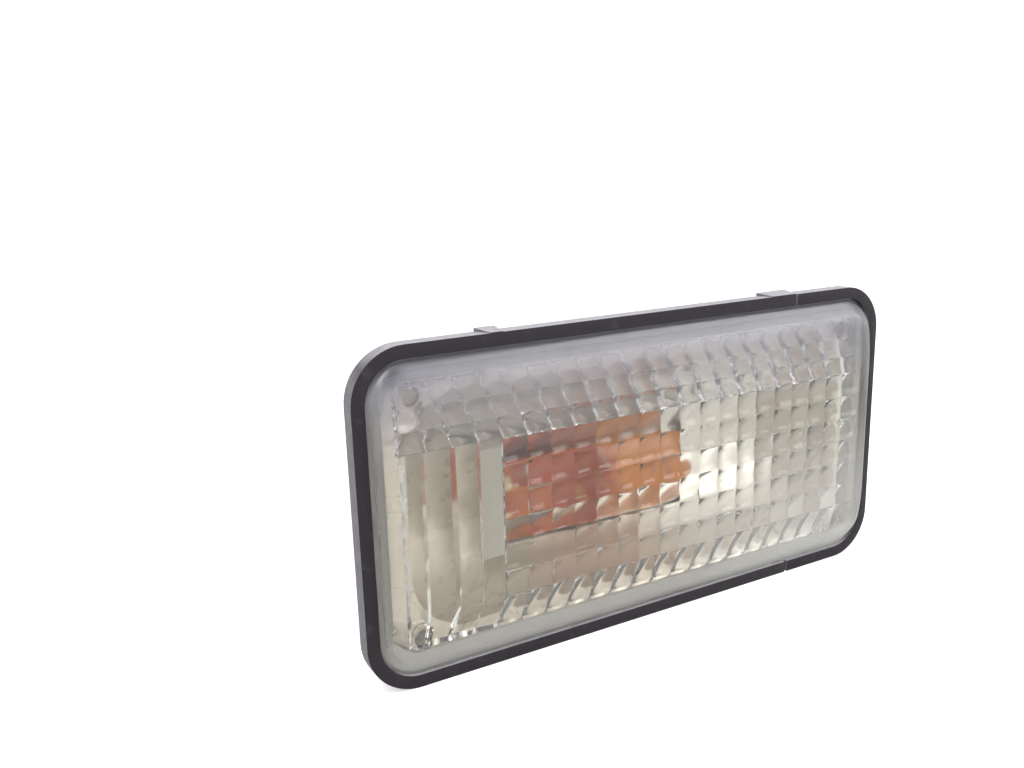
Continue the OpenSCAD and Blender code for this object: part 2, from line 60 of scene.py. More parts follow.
# %% [markdown]
# ## Sizes that the frame gives
# The surround is a ring round the lens, and the lens stands a little proud of it. Both could be
# typed in as numbers. Measuring their nodes is safer: the sizes can't disagree with the CAD model.

# %% Boxes of surround and lens
def node_box(node):
    low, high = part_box(node)
    return Vector(low) / MM, Vector(high) / MM


ring_low, ring_high = node_box("surround")
lens_low, lens_high = node_box("lens")
body_w = ring_high.x - ring_low.x
body_h = 2 * -ring_low.z
crest_y, front_y = lens_low.y, ring_low.y
print(f"body {body_w:.1f} x {body_h:.1f} mm, lens crest {front_y - crest_y:.1f} mm proud")

# %% [markdown]
# ## Nested outlines
# Surround, lens, foot and skirt are round-cornered plates, one inside the other. A box can't tell
# a corner radius or a wall, so these are named here once, and each outline is the body's outline
# made smaller by one step, as the real pieces nest.

# %% Outlines
corner_r = 6.0
face_w, lens_gap = 1.5, 0.25
lip_t, foot_t, skirt_t = 0.5, 0.5, 1.3
least_r = 0.6
foot_front = front_y + lip_t
flange_front = foot_front + foot_t


def inset(outline, d):
    """A rounded outline [width, height, radius], made smaller by d all round."""
    return [outline[0] - 2 * d, outline[1] - 2 * d, max(outline[2] - d, least_r)]


body_o = [body_w, body_h, corner_r]
lens_o = inset(body_o, face_w + lens_gap)
foot_o = inset(body_o, body_w / 2 - lens_high.x)
skirt_o = inset(lens_o, skirt_t)
print("lens outline", [round(v, 2) for v in lens_o])

# %% [markdown]
# ## The camera
# The picture shows the lamp from in front of its hook end, a little above it. A camera can be
# turned by hand until this looks right. Here its place was worked out from the corners of the
# surround instead, so the lamp falls on the same part of the picture.

# %% Camera at the picture's angle
focal_px, image_w, sensor_w = 945.62, 1024, 36
cam_place = Vector((-67.792, -89.106, 36.584)) * MM
yaw, pitch, roll = 0.51165, -0.23260, -0.02882

cam_data = bpy.data.cameras.new("photo_camera")
camera = bpy.data.objects.new("photo_camera", cam_data)
bpy.context.scene.collection.objects.link(camera)
bpy.context.scene.camera = camera
cam_data.sensor_width = sensor_w
cam_data.lens = sensor_w * focal_px / image_w
cam_data.clip_start = 0.001
forward = Vector((math.sin(yaw) * math.cos(pitch), math.cos(yaw) * math.cos(pitch),
                  math.sin(pitch)))
level = Vector((math.cos(yaw), -math.sin(yaw), 0))
upward = level.cross(forward)
right = level * math.cos(roll) + upward * math.sin(roll)
up = upward * math.cos(roll) - level * math.sin(roll)
turned = Matrix((right, up, -forward)).transposed().to_4x4()
camera.matrix_world = Matrix.Translation(cam_place) @ turned
print("camera lens %.1f mm" % cam_data.lens)

# %% [markdown]
# ## The lens, outside
# The real lens is one clear moulding. Its outer face is plain: flat in the middle, falling away
# in an arc towards the long edges, with a rounded rim. A subdivided plate could give that, but it
# would soften the optics inside too. So the face is worked out as a height for each point.

# %% Shape of the outer face
lens_wall = 1.4
flat_band = 16.0
crown_fall = 0.8
arc_share = 0.8
crown_reach = (lens_o[1] / 2 - flat_band / 2) / arc_share
arc_full = 1 - math.sqrt(1 - arc_share ** 2)
rim_r = 2.2
skirt_top = foot_front - 0.05
dome_rise = skirt_top - crest_y


def depth_inside(x, z, outline):
    """How far a point lies inside a rounded outline."""
    w, h, r = outline
    qx, qz = abs(x) - w / 2 + r, abs(z) - h / 2 + r
    return r - math.hypot(max(qx, 0), max(qz, 0)) - min(max(qx, qz), 0)


def crown(z):
    """Share of the dome's rise at a height: 1 over the flat band, less near the long edges."""
    a = max(0, abs(z) - flat_band / 2) / crown_reach
    return 1 - crown_fall * (1 - math.sqrt(1 - a * a)) / arc_full


def outer_face(x, z):
    d = min(depth_inside(x, z, lens_o) / rim_r, 1)
    return skirt_top - dome_rise * crown(z) * math.sqrt(max(0, 1 - (1 - d) ** 2))


print("outer face at middle and rim: %.2f %.2f" % (outer_face(0, 0), outer_face(36, 0)))

# %% [markdown]
# ## The lens, inside: a grid of cells
# The inner face carries the optics. A bump map would be quicker, but it can't bend light as a
# thick cell does, so every cell here is real geometry. There are 22 columns. Seven rows are wide;
# the three low rows along the top edge look like a twisted rope, as the row at the foot does.

# %% Columns and rows
COLS = 22
flat_rows, rope_rows, rope_share = 7, 3, 0.76
optic_margin, foot_gap = 2.6, 0.85
optic_w, optic_h = lens_o[0] - 2 * optic_margin, lens_o[1] - 2 * optic_margin
col_p = optic_w / COLS
row_p = (optic_h - foot_gap) / (flat_rows + rope_rows * rope_share)
rope_p = row_p * rope_share
optic_foot = -optic_h / 2 + foot_gap
rope_foot = optic_foot + row_p
rope_top = optic_h / 2 - rope_rows * rope_p
print(f"column {col_p:.2f} mm, row {row_p:.2f} mm, rope row {rope_p:.2f} mm")

# %% [markdown]
# ## Tall strips at the hook end
# The first four columns are tall prism strips, thick at the hook side. Their steep risers bend
# the view so far that they show the bulb again, as thin amber lines. They could be copies of one
# strip; but in the real lens each differs, and only that puts the lines where they belong.

# %% Prism strips
strip_thick = (1.16, 2.3, 2.3, 1.22)
strip_thin = (1.02, 1.1, 0.44, 0.44)
strip_riser = (0.72, 0.08, 1.0, 0.51, 0.1)
strip_barrel = 0.2
strip_cols = len(strip_thick)
strip_back = node_box("reflector")[0].y - 0.15


def strip_rise(col, across_cell):
    """Up the steep riser at the hook side, then down a long slope."""
    thick, thin = strip_thick[col], strip_thin[col]
    before = strip_thin[col - 1] if col > 0 else 0
    riser = strip_riser[col] / col_p
    if across_cell < riser:
        return before + (thick - before) * across_cell / riser
    return thin + (thick - thin) * (1 - across_cell) / (1 - riser)


print(strip_cols, "strips, the thickest rises", max(strip_thick), "mm")

# %% [markdown]
# ## Pillows
# All other cells are pillows: a barrel along each row, with a bulge across each column. They are
# nearly flat in the wide rows and well rounded in the ropes. Perfect pillows would mirror one
# another like tiles, so each also leans a little, by a seeded random amount, and the sharp
# valleys between the rows are filled to a narrow flat, as an old mould leaves them.

# %% Height of a cell
row_bulge, rope_bulge = 0.33, 0.42
flat_pillow, round_pillow = 0.14, 0.42
valley_fill = 0.18
lean_most, nod_most = 0.03, 0.026
nudge = 1e-9
tilts = random.Random(7)
cell_tilt = [[(tilts.uniform(-lean_most, lean_most), tilts.uniform(-nod_most, nod_most))
              for _ in range(COLS)] for _ in range(flat_rows + rope_rows)]


def arch(t, valley=0.0):
    """A parabola over one cell; a valley fills its sharp foot to a narrow flat."""
    return max(1 - (2 * t - 1) ** 2, valley) - valley


def cell_at(x, z):
    """Column and row of a point, and how far across and up its cell it lies."""
    col, across_cell = divmod((x + optic_w / 2) / col_p + nudge, 1)
    if z >= rope_top:
        up_rows = (z - rope_top) / rope_p + nudge
        row = min(flat_rows + int(up_rows), flat_rows + rope_rows - 1)
    else:
        up_rows = (z - rope_top) / row_p + nudge
        row = min(int((z - optic_foot) / row_p + nudge), flat_rows - 1)
    return int(col), row, across_cell, up_rows % 1


def optic_rise(x, z):
    """Extra thickness of the lens at a point of its inner face."""
    if abs(x) > optic_w / 2 or not optic_foot <= z <= optic_h / 2:
        return 0
    col, row, across_cell, up_cell = cell_at(x, z)
    rope = z >= rope_top or (z < rope_foot and col >= strip_cols)
    barrel = (rope_bulge if z >= rope_top else row_bulge) * arch(up_cell, valley_fill)
    if col >= COLS:
        return barrel
    if col < strip_cols and not rope:
        return strip_barrel * barrel + strip_rise(col, across_cell)
    lean, nod = cell_tilt[row][col]
    uneven = lean * (across_cell - 0.5) * col_p + nod * (up_cell - 0.5) * row_p
    return barrel + uneven + (round_pillow if rope else flat_pillow) * arch(across_cell)


print(f"rise mid-cell {optic_rise(col_p / 2, rope_foot + row_p / 2):.2f} mm")

# %% [markdown]
# ## Where the grid lines run
# An even grid would need very many points to keep the valleys crisp. This one puts eight lines
# into each cell, close together at its edges, and one more at the top of each riser.

# %% Grid lines
fine_steps = (0, 0.03, 0.15, 0.32, 0.5, 0.68, 0.85, 0.97)


def cell_lines(start, pitch, cells):
    return [start + (k + t) * pitch for k in range(cells) for t in fine_steps]


def column_lines():
    lines = []
    for k in range(COLS):
        start = -optic_w / 2 + k * col_p
        lines += [start + t * col_p for t in fine_steps]
        if k <= strip_cols:
            lines.append(start + strip_riser[k])
    return sorted(lines) + [optic_w / 2]


def with_margins(half, lines, count=6):
    """The lines, with plain ones added out to both ends of the face."""
    first, last = lines[0], lines[-1]
    before = [-half + (half + first) * i / count for i in range(count)]
    return before + lines + [last + (half - last) * (i + 1) / count for i in range(count)]


row_lines = (cell_lines(optic_foot, row_p, flat_rows) + cell_lines(rope_top, rope_p, rope_rows)
             + [optic_h / 2])
across = with_margins(skirt_o[0] / 2, column_lines())
upwards = with_margins(skirt_o[1] / 2, row_lines)
print(f"grid {len(across)} x {len(upwards)}")

# %% [markdown]
# ## Carrying the grid into the outlines
# Both faces use the same grid, squeezed into their own rounded outlines, so that their edges have
# the same points. The rope rows also lean towards the hook end: moving their points sideways is
# simpler than drawing slanted cells.

# %% Rounded corners and slanted ropes
rope_skew, skew_fade = 0.35, 6


def rounded(x, z, outline):
    w, h, r = outline
    cx, cz = w / 2 - r, h / 2 - r
    qx, qz = abs(x) - cx, abs(z) - cz
    if qx > 0 and qz > 0:
        s = max(qx, qz) / math.hypot(qx, qz)
        return math.copysign(cx + qx * s, x), math.copysign(cz + qz * s, z)
    return x, z


def in_outline(x, z, outline):
    """A grid point, carried from the skirt's outline to another one."""
    return rounded(x * outline[0] / skirt_o[0], z * outline[1] / skirt_o[1], outline)


def skewed(x, z):
    beyond = max(z - rope_top, rope_foot - z, 0)
    fade = min(1, (optic_w / 2 - abs(x)) / skew_fade) if abs(x) < optic_w / 2 else 0
    return x - rope_skew * beyond * fade


print(f"the top rope leans by {rope_skew * rope_p * rope_rows:.2f} mm")

# %% [markdown]
# ## Both faces of the lens
# A solid lens could come from a plate and a boolean for each cell. Writing the points directly is
# faster and leaves clean quads: one layer for the outer face and one for the inner.

# %% Two layers of points
nx, nz = len(across), len(upwards)
outside, inside = [], []
for z in upwards:
    for x in across:
        ox, oz = in_outline(x, z, lens_o)
        outside.append((ox, outer_face(ox, oz), oz))
        ix, iz = rounded(x, z, skirt_o)
        depth = skirt_top - dome_rise * crown(iz) + lens_wall + optic_rise(x, z)
        inside.append((skewed(ix, iz), min(depth, strip_back), iz))
lens_points = outside + inside
lens_faces = []
for j in range(nz - 1):
    for i in range(nx - 1):
        a = j * nx + i
        b = nx * nz + a
        lens_faces.append((a, a + 1, a + nx + 1, a + nx))
        lens_faces.append((b, b + nx, b + nx + 1, b + 1))
print(len(lens_points), "points in two layers")

# %% [markdown]
# ## Skirt and foot
# The foot is the flat rim that is welded to the tray. Rings of faces between the edges of both
# layers make it and the skirt, and close the mesh. A closed mesh matters here: the renderer bends
# light where it goes in and again where it comes out.

# %% Close the lens
edge = list(range(nx)) + [j * nx + nx - 1 for j in range(1, nz)]
edge += [(nz - 1) * nx + i for i in range(nx - 2, -1, -1)]
edge += [j * nx for j in range(nz - 2, 0, -1)]
rings = [edge]
for outline, y in ((lens_o, foot_front), (foot_o, foot_front),
                   (foot_o, flange_front), (skirt_o, flange_front)):
    start = len(lens_points)
    for k in edge:
        x, z = in_outline(across[k % nx], upwards[k // nx], outline)
        lens_points.append((x, y, z))
    rings.append(list(range(start, start + len(edge))))
rings.append([nx * nz + k for k in edge])
for a, b in zip(rings, rings[1:]):
    for k in range(len(edge)):
        n = (k + 1) % len(edge)
        lens_faces.append((a[k], a[n], b[n], b[k]))
print(len(edge), "points round the edge,", len(rings), "rings")

# %% [markdown]
# ## A small kit for finishes
# Every finish here is a Principled shader with a few noises on it. The nodes could be wired by
# hand in the shader editor. Small functions do the same, and then each finish below reads as a
# list of what the real surface has.

# %% Start a finish
def new_finish(name, **constants):
    material = bpy.data.materials.new(name)
    material.use_nodes = True
    shader = material.node_tree.nodes["Principled BSDF"]
    for socket, value in constants.items():
        shader.inputs[socket.replace("_", " ")].default_value = value
    print("finish:", name)
    return material, shader


def add_node(material, kind, **values):
    node = material.node_tree.nodes.new(kind)
    for key, value in values.items():
        if key in node.inputs:
            node.inputs[key].default_value = value
        else:
            setattr(node, key, value)
    return node


def join(material, source, target):
    material.node_tree.links.new(source, target)


# %% [markdown]
# ## Patterns that stay on the piece
# A pattern needs coordinates. Object coordinates are the piece's own place in metres, so a patch
# of dust stays where it is when the lamp is carried away, and its size can be given in
# millimetres. All pieces share the frame's origin, so X and Z also tell where on the lamp we are.

# %% Coordinates and noise
def place(material):
    return add_node(material, "ShaderNodeTexCoord").outputs["Object"]


def split_axes(material, vector):
    """The X, Y and Z outputs of a vector."""
    axes = add_node(material, "ShaderNodeSeparateXYZ")
    join(material, vector, axes.inputs[0])
    return axes.outputs


def noise(material, size_mm, detail=3.0, stretch=(1, 1, 1)):
    mapping = add_node(material, "ShaderNodeMapping")
    mapping.inputs["Scale"].default_value = stretch
    join(material, place(material), mapping.inputs["Vector"])
    texture = add_node(material, "ShaderNodeTexNoise", Scale=1 / (size_mm * MM), Detail=detail)
    join(material, mapping.outputs["Vector"], texture.inputs["Vector"])
    return texture.outputs["Fac"]


print("noise scale for 1 mm patches:", 1 / MM)

# %% [markdown]
# ## Ranges, colours and bumps
# A noise runs round the middle of 0 to 1. A range node stretches the part that matters to the
# values that are wanted, a mix node turns it into colours, and a bump node into a fine grain.

# %% Turn a pattern into a look
RANGE_SLOTS = (1, 2, 3, 4)
COLOUR_SLOTS, COLOUR_OUT = (6, 7), 2


def remap(material, source, low, high, to_low, to_high):
    node = add_node(material, "ShaderNodeMapRange")
    for slot, value in zip(RANGE_SLOTS, (low, high, to_low, to_high)):
        node.inputs[slot].default_value = value
    join(material, source, node.inputs[0])
    return node.outputs[0]


def blend_colours(material, factor, first, second):
    node = add_node(material, "ShaderNodeMix", data_type="RGBA")
    join(material, factor, node.inputs[0])
    for slot, colour in zip(COLOUR_SLOTS, (first, second)):
        if isinstance(colour, tuple):
            node.inputs[slot].default_value = (*colour, 1)
        else:
            join(material, colour, node.inputs[slot])
    return node.outputs[COLOUR_OUT]


def arithmetic(material, operation, first, second):
    node = add_node(material, "ShaderNodeMath", operation=operation)
    for slot, value in enumerate((first, second)):
        if isinstance(value, (int, float)):
            node.inputs[slot].default_value = value
        else:
            join(material, value, node.inputs[slot])
    return node.outputs[0]


def roughen(material, shader, height, strength, depth_mm):
    bump = add_node(material, "ShaderNodeBump", Strength=strength, Distance=depth_mm * MM)
    join(material, height, bump.inputs["Height"])
    join(material, bump.outputs["Normal"], shader.inputs["Normal"])


print("pattern helpers: remap, blend_colours, arithmetic, roughen")

# %% [markdown]
# ## Clear plastic that has seen some road
# Clear acrylic bends light with an index of 1.49. Years outside leave a fine haze: a share of the
# surface that scatters light instead of letting it through. Mixing in a second, white shader
# would do it too, but the Principled shader has a socket for it, and the haze can be painted
# there: heaviest where the lens curves back at the top and the bottom, and at the lower clip end.

# %% Haze of the lens
lens_clear, shader = new_finish("lens_clear", Base_Color=(0.95, 0.96, 0.94, 1), IOR=1.49,
                                Transmission_Weight=1.0, Roughness=0.06)
m = lens_clear
axes = split_axes(m, place(m))
edge_haze, thin_haze, clip_haze = 0.16, 0.012, 0.15
top_band = remap(m, axes["Z"], 6 * MM, 15 * MM, 0.0, 1.0)
low_band = remap(m, axes["Z"], -12.5 * MM, -16.5 * MM, 0.0, 1.0)
patches = remap(m, noise(m, 9.0, 4.0), 0.3, 0.7, 0.6, 1.15)
haze = arithmetic(m, "MAXIMUM", arithmetic(m, "MULTIPLY", top_band, edge_haze),
                  arithmetic(m, "MULTIPLY", low_band, edge_haze))
haze = arithmetic(m, "ADD", arithmetic(m, "MULTIPLY", haze, patches), thin_haze)
clip_end = remap(m, axes["X"], 2 * MM, 26 * MM, 0.0, 1.0)
lower_half = remap(m, axes["Z"], 4 * MM, -11 * MM, 0.0, clip_haze)
haze = arithmetic(m, "ADD", haze, arithmetic(m, "MULTIPLY", clip_end, lower_half))
join(m, arithmetic(m, "SUBTRACT", 1.0, haze), shader.inputs["Transmission Weight"])
print("haze: edges", edge_haze, "clip end", clip_haze)

# %% [markdown]
# ## Tint and grain of the lens
# The base colour tints the light each time it passes a face, so a little grey goes a long way:
# light that comes back from the tray passes four of them. The tint is nearly clear in the middle
# and bluish grey along the top: partly weathering, partly a painted reflection of the room above.
# The top rim is tinted dark grey. Along the top the plastic is rougher too.

# %% Tint and roughness of the lens
# painted reflection in part: the bluish grey along the top stands for the room reflected there, as
# well as for weathering
clear_tint, weathered_reflection_tint = (0.96, 0.955, 0.92), (0.74, 0.73, 0.80)
rim_tint = (0.33, 0.33, 0.38)
veil = blend_colours(m, top_band, clear_tint, weathered_reflection_tint)
top_rim = remap(m, axes["Z"], 14.2 * MM, 16.4 * MM, 0.0, 1.0)
veil = blend_colours(m, top_rim, veil, rim_tint)
join(m, veil, shader.inputs["Base Color"])
weathered = remap(m, axes["Z"], 6.5 * MM, 12 * MM, 0.0, 0.11)
scuffs = remap(m, noise(m, 3.0, 5.0), 0.3, 0.75, 0.07, 0.16)
join(m, arithmetic(m, "ADD", scuffs, weathered), shader.inputs["Roughness"])
roughen(m, shader, noise(m, 0.8, 4.0), 0.12, 0.02)
print("tint: middle", clear_tint, "top", weathered_reflection_tint, "rim", rim_tint)

# %% [markdown]
# ## Getting a piece into the scene
# A piece is a mesh that rides on the lamp's one body. Where it stands for a CAD node, that node
# is hidden. Smooth shading with sharp edges above a set angle keeps flats flat and rounds round,
# which would otherwise need many more faces.

# %% Dress a piece
def dress(piece, material, slot, *nodes, sharp_deg=30):
    mesh = piece.data
    tidy = bmesh.new()
    tidy.from_mesh(mesh)
    bmesh.ops.recalc_face_normals(tidy, faces=tidy.faces)
    tidy.to_mesh(mesh)
    tidy.free()
    mesh.shade_smooth()
    mesh.set_sharp_from_angle(angle=math.radians(sharp_deg))
    mesh.materials.clear()
    mesh.materials.append(material)
    if piece.name not in bpy.context.scene.collection.objects:
        bpy.context.scene.collection.objects.link(piece)
    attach(piece, "root")
    if nodes:
        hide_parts(*nodes)
    print(f"{piece.name}: {len(mesh.polygons)} faces")
    return piece


def make_piece(name, points_mm, faces, material, slot, *nodes, sharp_deg=30):
    mesh = bpy.data.meshes.new(name)
    mesh.from_pydata([Vector(p) * MM for p in points_mm], [], faces)
    piece = bpy.data.objects.new(name, mesh)
    return dress(piece, material, slot, *nodes, sharp_deg=sharp_deg)


lens = make_piece("lens_shell", lens_points, lens_faces, lens_clear, "clear_lens", "lens")

# %% [markdown]
# ## Corner pegs
# A short round peg stands on the inner face in each corner of the lens and goes through a hole in
# the reflector. The four are made as plain turned shapes first, from two rings and two ends.

# %% Peg shapes
peg_d, peg_sides, peg_edge = 2.2, 40, 0.2
peg_x, peg_z = lens_o[0] / 2 - 4.9, lens_o[1] / 2 - 4.1
peg_end = lens_high.y
peg_start = skirt_top - dome_rise * crown(peg_z) + lens_wall / 2
peg_rings = ((peg_d / 2, peg_start), (peg_d / 2, peg_end - peg_edge),
             (peg_d / 2 - peg_edge, peg_end))
turns = [2 * math.pi * k / peg_sides for k in range(peg_sides)]
peg_points, peg_faces = [], []
for sx in (-1, 1):
    for sz in (-1, 1):
        base = len(peg_points)
        for r, y in peg_rings:
            peg_points += [(sx * peg_x + r * math.cos(t), y, sz * peg_z + r * math.sin(t))
                           for t in turns]
        for ring in range(2):
            for k in range(peg_sides):
                a = base + ring * peg_sides + k
                b = base + ring * peg_sides + (k + 1) % peg_sides
                peg_faces.append((a, b, b + peg_sides, a + peg_sides))
        peg_faces.append(tuple(base + k for k in range(peg_sides)))
        peg_faces.append(tuple(base + 2 * peg_sides + k for k in reversed(range(peg_sides))))
print(f"4 pegs, {peg_end - peg_start:.2f} mm long")

# %% [markdown]
# ## Pegs and lens become one
# A peg that only overlapped the lens would bend light twice. So the pegs are joined to the lens
# with a boolean; the exact solver is slower, but it keeps the mesh closed.

# %% Join the pegs
peg_data = bpy.data.meshes.new("pegs")
peg_data.from_pydata([Vector(p) * MM for p in peg_points], [], peg_faces)
pegs = bpy.data.objects.new("pegs", peg_data)
bpy.context.scene.collection.objects.link(pegs)
union = lens.modifiers.new("pegs", "BOOLEAN")
union.operation = "UNION"
union.solver = "EXACT"
union.object = pegs
lens_now = lens.evaluated_get(bpy.context.evaluated_depsgraph_get())
joined = bpy.data.meshes.new_from_object(lens_now)
lens.modifiers.clear()
lens.data = joined
joined.shade_smooth()
joined.set_sharp_from_angle(angle=math.radians(30))
bpy.data.objects.remove(pegs)
print("lens with pegs:", len(joined.polygons), "faces")

# %% [markdown]
# ## Rounded copies of CAD nodes
# The other moulded and bent pieces have the right form in the CAD model, but with knife edges.
# They could be modelled again; a copy with its edges bevelled is enough, and it keeps their size.
# Its flats are merged first, or the bevel would run along every triangle.

# %% Soften a node
WELD, FLAT_DEG, BEVEL_DEG, SHARP_DEG = 0.002 * MM, 1, 35, 38


def softened(node, name, material, slot, edge_mm, segments=3, reshape=None):
    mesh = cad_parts[node].data.copy()
    mesh.name = name
    work = bmesh.new()
    work.from_mesh(mesh)
    bmesh.ops.remove_doubles(work, verts=work.verts, dist=WELD)
    bmesh.ops.dissolve_limit(work, angle_limit=math.radians(FLAT_DEG),
                             verts=work.verts, edges=work.edges)
    if reshape:
        reshape(work.verts)
    work.to_mesh(mesh)
    work.free()
    piece = bpy.data.objects.new(name, mesh)
    bpy.context.scene.collection.objects.link(piece)
    bevel = piece.modifiers.new("edges", "BEVEL")
    bevel.width = edge_mm * MM
    bevel.segments = segments
    bevel.limit_method = "ANGLE"
    bevel.angle_limit = math.radians(BEVEL_DEG)
    bevel.harden_normals = False
    piece_now = piece.evaluated_get(bpy.context.evaluated_depsgraph_get())
    shaped = bpy.data.meshes.new_from_object(piece_now)
    piece.modifiers.clear()
    piece.data = shaped
    return dress(piece, material, slot, node, sharp_deg=SHARP_DEG)


print("edges sharper than", BEVEL_DEG, "degrees get rounded")

# %% [markdown]
# ## Black surround
# The ring round the lens is satin black rubber with a fine grain and a little random dust. Faces
# that look up, and faces that look to the hook side, are painted a lighter grey, in streaks: a
# painted sheen, standing in for the light that grazes the top and that side. An image could hold
# it; here the direction that a face looks in decides it, so it is in the right place at every
# size.

# %% Surround
black, shader = new_finish("surround_black", Roughness=0.5, Specular_IOR_Level=0.3)
m = black
fresh_black, dusty_black = (0.019, 0.015, 0.020), (0.07, 0.065, 0.075)
sheen_grey = (0.36, 0.35, 0.38)
facing = split_axes(m, add_node(m, "ShaderNodeNewGeometry").outputs["Normal"])
# painted sheen: a lighter grey on faces that look up and on faces that look to the hook side,
# where grazing light falls
sheen_on_top = remap(m, facing["Z"], 0.55, 0.95, 0.0, 1.0)
sheen_on_side = remap(m, facing["X"], -0.55, -0.95, 0.0, 0.5)
streaks = remap(m, noise(m, 1.2, 5.0, stretch=(1, 4, 1)), 0.3, 0.7, 0.7, 1.1)
painted_sheen = arithmetic(m, "MULTIPLY", arithmetic(m, "MAXIMUM", sheen_on_top, sheen_on_side), streaks)
dust = remap(m, noise(m, 1.6, 6.0), 0.58, 0.75, 0.0, 0.3)
front = blend_colours(m, dust, fresh_black, dusty_black)
join(m, blend_colours(m, painted_sheen, front, sheen_grey), shader.inputs["Base Color"])
grain = noise(m, 0.35, 4.0)
join(m, remap(m, grain, 0.3, 0.7, 0.42, 0.6), shader.inputs["Roughness"])
roughen(m, shader, grain, 0.35, 0.03)
softened("surround", "surround_ring", black, "black_rubber", 0.12)

# %% [markdown]
# ## Reflector
# Behind the bulb lies a trough of warm white plastic with a soft, metallised shine. A perfect
# mirror would be simpler, but it would show the room in every cell. This one throws an even,
# creamy light through the prisms. Towards the hook end, where the bulb sits, it is painted a
# darker,
# browner cream: painted shade of the bulb on the tray, fading out between x = 3 and 11 mm.

# %% Reflector
satin, shader = new_finish("reflector_satin", Metallic=0.4, Roughness=0.32)
m = satin
bright_cream, dull_cream, shaded_cream = (1.0, 0.98, 0.92), (0.96, 0.93, 0.86), (0.84, 0.77, 0.66)
clean = blend_colours(m, remap(m, noise(m, 6.0, 4.0), 0.35, 0.7, 0.0, 1.0),
                      bright_cream, dull_cream)
# painted shade: the tray is darker and browner on the hook side of the bulb's tip
bulb_shade = remap(m, split_axes(m, place(m))["X"], 11 * MM, 3 * MM, 0.0, 1.0)
join(m, blend_colours(m, bulb_shade, clean, shaded_cream), shader.inputs["Base Color"])
join(m, remap(m, noise(m, 1.5, 3.0), 0.3, 0.7, 0.24, 0.4), shader.inputs["Roughness"])
roughen(m, shader, noise(m, 0.9, 2.0), 0.08, 0.03)
softened("reflector", "reflector_trough", satin, "satin_reflector", 0.25)

# %% [markdown]
# ## Amber bulb: its cross-sections
# The bulb is a glass tube, pinched flat at its base. A cylinder with a squashed end would show a
# crease. A loft is smoother: each cross-section goes from a flat rounded bar at the base to a
# circle towards the tip, by way of a superellipse.

# %% Sections of the bulb
bulb_low, bulb_high = node_box("bulb_glass")
bulb_y = (bulb_low.y + bulb_high.y) / 2
bulb_z = (bulb_low.z + bulb_high.z) / 2
bulb_r = (bulb_high.z - bulb_low.z) / 2
tip_x, base_x = bulb_high.x, bulb_low.x
cap_x = tip_x - bulb_r
wedge_len, wedge_half, wedge_flat = 9.0, 4.9, 1.35
wedge_end = base_x + wedge_len
shoulder_start, shoulder_len = wedge_end - 0.6, 4.2
bar_power, circle_power = 7, 2


def ease(t):
    t = min(max(t, 0), 1)
    return t * t * (3 - 2 * t)


def envelope(x, r):
    """Half sizes across and through the glass, and how square the section is, at a station."""
    t = ease((x - shoulder_start) / shoulder_len)
    round_off = math.sqrt(max(0, 1 - (max(0, x - cap_x) / bulb_r) ** 2))
    half_z = (wedge_half + (r - wedge_half) * t) * round_off
    half_y = (wedge_flat + (r - wedge_flat) * t) * round_off
    return half_z, half_y, bar_power + (circle_power - bar_power) * t


def section(x, r, sides=56):
    half_z, half_y, square = envelope(x, r)
    ring = []
    for k in range(sides):
        a = 2 * math.pi * k / sides
        c, s = math.cos(a), math.sin(a)
        ring.append((x, bulb_y + half_y * math.copysign(abs(s) ** (2 / square), s),
                     bulb_z + half_z * math.copysign(abs(c) ** (2 / square), c)))
    return ring


print(f"bulb {tip_x - base_x:.1f} mm long, {2 * bulb_r:.1f} mm across")

# %% [markdown]
# ## Amber bulb: outside and hollow
# Real glass is a thin wall round a hollow, and a solid bulb would act as a strong lens. So a
# second, smaller surface inside it faces the other way. Its stations crowd together at both ends,
# where the hollow closes.

# %% Mesh of the bulb
glass_t, hollow_sides = 0.6, 40
hollow_start, hollow_open = wedge_end + 2.4, 2.2


def loft(rings, flip=False):
    points, faces = [p for ring in rings for p in ring], []
    n = len(rings[0])
    for j in range(len(rings) - 1):
        for k in range(n):
            a, b = j * n + k, j * n + (k + 1) % n
            faces.append((a, b, b + n, a + n) if flip else (a, a + n, b + n, b))
    first, last = tuple(range(n)), tuple(range((len(rings) - 1) * n, len(rings) * n))
    return points, faces + ([first[::-1], last] if flip else [first, last[::-1]])


stations = [base_x, base_x + 0.3] + [shoulder_start + 0.35 * i for i in range(14)]
stations += [cap_x + bulb_r * math.sin(math.radians(4.5 * i)) for i in range(20)]
stations.append(tip_x - 0.002)
bulb_points, bulb_faces = loft([section(x, bulb_r) for x in stations])
hollow_r = bulb_r - glass_t
hollow_cap = [cap_x + hollow_r * math.sin(math.radians(6 * i)) for i in range(15)]
hollow_rings = []
for x in [hollow_start + 0.2 + 0.5 * i for i in range(6)] + hollow_cap:
    opened = math.sin(math.radians(90) * min(1, (x - hollow_start) / hollow_open))
    r = hollow_r * opened * math.sqrt(max(0, 1 - (max(0, x - cap_x) / hollow_r) ** 2))
    angles = [2 * math.pi * k / hollow_sides for k in range(hollow_sides)]
    hollow_rings.append([(x, bulb_y + r * math.sin(a), bulb_z + r * math.cos(a))
                         for a in angles])
hollow_points, hollow_faces = loft(hollow_rings, flip=True)
shift = len(bulb_points)
bulb_points += hollow_points
bulb_faces += [tuple(shift + k for k in face) for face in hollow_faces]
print(len(stations), "outer and", len(hollow_rings), "inner sections")
